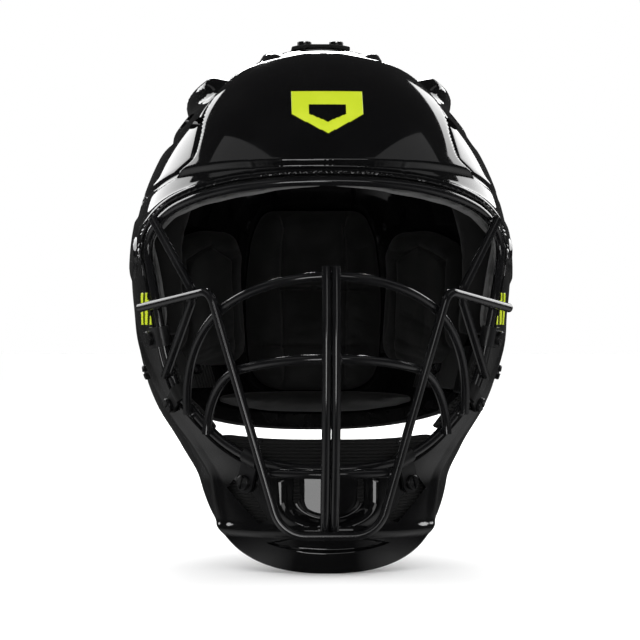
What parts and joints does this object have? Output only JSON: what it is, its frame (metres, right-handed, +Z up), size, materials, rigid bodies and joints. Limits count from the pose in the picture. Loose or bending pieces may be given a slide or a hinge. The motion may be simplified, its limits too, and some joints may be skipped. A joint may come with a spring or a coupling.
{
  "type": "catcher's mask",
  "caption": "Hockey-style catcher's mask: glossy front shell with chin guard, welded wire cage, padded liner, and a rear shell that swings open on a crown strap against elastic straps.",
  "frame": {"origin": "middle of the head, between the ears", "axes": "+Z up through the crown, the face looks along -Y, +X to the wearer's left (the right of a viewer in front)"},
  "size_m": [0.2211, 0.2737, 0.301],
  "materials": {
    "gloss_shell": "gloss",
    "coated_wire": "gloss",
    "clip_plastic": "satin",
    "clip_rubber": "textured",
    "screw_metal": "satin",
    "nut_metal": "satin",
    "brow_cloth": "matt",
    "smooth_pad": "matt",
    "liner_cloth": "matt",
    "knit_cloth": "matt",
    "webbing": "matt",
    "mesh_plastic": "matt",
    "trim_rubber": "satin"
  },
  "bodies": {
    "front": {"brow_pad_left": "brow_cloth", "brow_pad_right": "brow_cloth", "cage_center_bar_left": "coated_wire", "cage_center_bar_right": "coated_wire", "cage_chin_bar": "coated_wire", "cage_lower_arch": "coated_wire", "cage_main_wire": "coated_wire", "cage_perimeter_wire": "coated_wire", "cage_side_bar_left": "coated_wire", "cage_side_bar_right": "coated_wire", "cage_upper_arch": "coated_wire", "chin_clip_left": "clip_plastic", "chin_clip_nuts": "nut_metal", "chin_clip_right": "clip_plastic", "chin_clip_screws": "screw_metal", "chin_pad": "knit_cloth", "crown_front_nuts": "nut_metal", "crown_front_screws": "screw_metal", "crown_pad": "smooth_pad", "crown_side_pad_left": "smooth_pad", "crown_side_pad_right": "smooth_pad", "crown_strap": "webbing", "elastic_strap_left": "webbing", "elastic_strap_right": "webbing", "front_shell": "gloss_shell", "jaw_pad_left": "knit_cloth", "jaw_pad_right": "knit_cloth", "side_clip_left": "clip_plastic", "side_clip_nuts": "nut_metal", "side_clip_right": "clip_plastic", "side_clip_screws": "screw_metal", "side_loop_left": "clip_rubber", "side_loop_nuts": "nut_metal", "side_loop_right": "clip_rubber", "side_loop_screws": "screw_metal", "strap_front_nuts": "nut_metal", "strap_front_screws": "screw_metal", "temple_pad_left": "smooth_pad", "temple_pad_right": "smooth_pad", "vent_mesh_left": "mesh_plastic", "vent_mesh_right": "mesh_plastic"},
    "rear": {"crown_rear_nuts": "nut_metal", "crown_rear_screws": "screw_metal", "rear_center_pad": "liner_cloth", "rear_neck_roll": "liner_cloth", "rear_rim_trim": "trim_rubber", "rear_shell": "gloss_shell", "rear_side_pad_left": "liner_cloth", "rear_side_pad_right": "liner_cloth", "strap_rear_nuts": "nut_metal", "strap_rear_screws": "screw_metal"},
    "slider_left": {"strap_slider_left": "clip_plastic"},
    "slider_right": {"strap_slider_right": "clip_plastic"}
  },
  "joints": [
    {"name": "rear_swing", "type": "hinge", "parent": "front", "child": "rear", "pos_m": [0, 0.022, 0.1363], "axis": [1, 0, 0], "range_deg": [0, 15], "deforming": ["crown_strap", "elastic_strap_left", "elastic_strap_right"]},
    {"name": "slider_right_slide", "type": "slide", "parent": "front", "child": "slider_right", "axis": [-0.1974, 0.9803, 0], "range_m": [-0.008, 0.008]},
    {"name": "slider_left_slide", "type": "slide", "parent": "front", "child": "slider_left", "axis": [0.1974, 0.9803, 0], "range_m": [-0.008, 0.008]}
  ]
}
